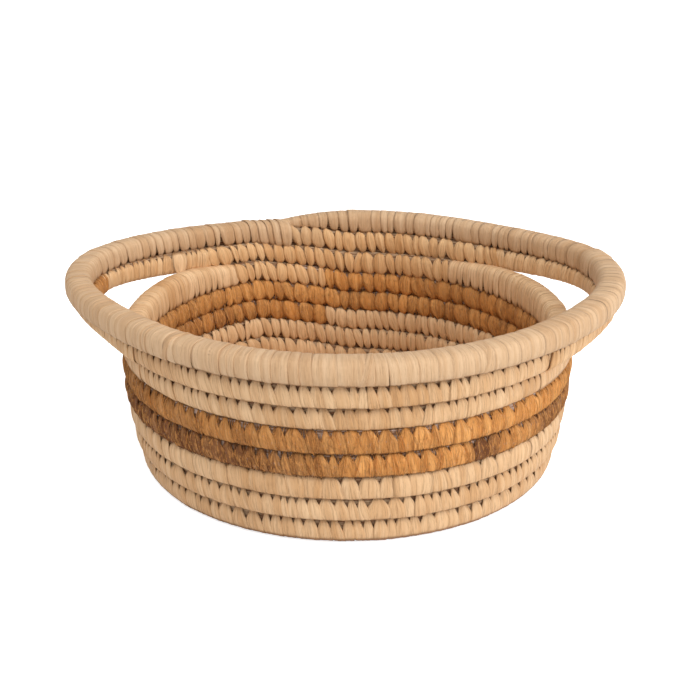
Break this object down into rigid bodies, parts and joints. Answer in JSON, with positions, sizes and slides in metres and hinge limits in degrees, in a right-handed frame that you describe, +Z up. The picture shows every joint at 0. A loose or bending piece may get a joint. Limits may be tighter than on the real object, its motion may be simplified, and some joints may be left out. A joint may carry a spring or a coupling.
{
  "type": "bread basket",
  "caption": "Round coiled bread basket of palm-wrapped grass rope with bark-wrapped rows round the wall and a handle that swings out of the top rows at each side",
  "frame": {"origin": "On the axis of the round wall, at the level of the flat underside that stands on the table.", "axes": "+X runs through the handles to the right of the basket as pictured, +Y to the back and +Z up."},
  "size_m": [0.2965, 0.255, 0.1],
  "materials": {
    "palm_strip": "dry split palm leaf, stitched in slanting straps, matt with a faint sheen",
    "rim_palm": "dry split palm leaf wound close round the rope, pale, matt with a faint sheen",
    "amber_bark": "orange-brown fibrous bark strips, satin",
    "dark_bark": "dark brown and amber fibrous bark strips, satin",
    "grass": "dry bundled grass, matt"
  },
  "bodies": {
    "root": {"centre_knot": "palm_strip", "start_wrap": "palm_strip", "base_wrap_1": "palm_strip", "base_wrap_2": "palm_strip", "base_wrap_3": "palm_strip", "base_wrap_4": "palm_strip", "base_wrap_5": "palm_strip", "base_wrap_6": "palm_strip", "base_wrap_7": "palm_strip", "foot_row_wrap": "palm_strip", "lower_row_wrap_1": "palm_strip", "lower_row_wrap_2": "palm_strip", "bark_row_wrap_1": "dark_bark", "bark_row_wrap_2": "amber_bark", "shoulder_row_wrap": "palm_strip", "under_rim_back_left_wrap": "palm_strip", "left_handle_lower_wrap": "palm_strip", "under_rim_front_wrap": "palm_strip", "right_handle_lower_wrap": "palm_strip", "under_rim_back_wrap": "palm_strip", "rim_back_left_wrap": "rim_palm", "left_handle_upper_wrap": "rim_palm", "rim_front_wrap": "rim_palm", "right_handle_upper_wrap": "rim_palm", "rim_back_wrap": "rim_palm", "rim_end_wrap": "rim_palm", "grass_rope": "grass"}
  },
  "joints": []
}
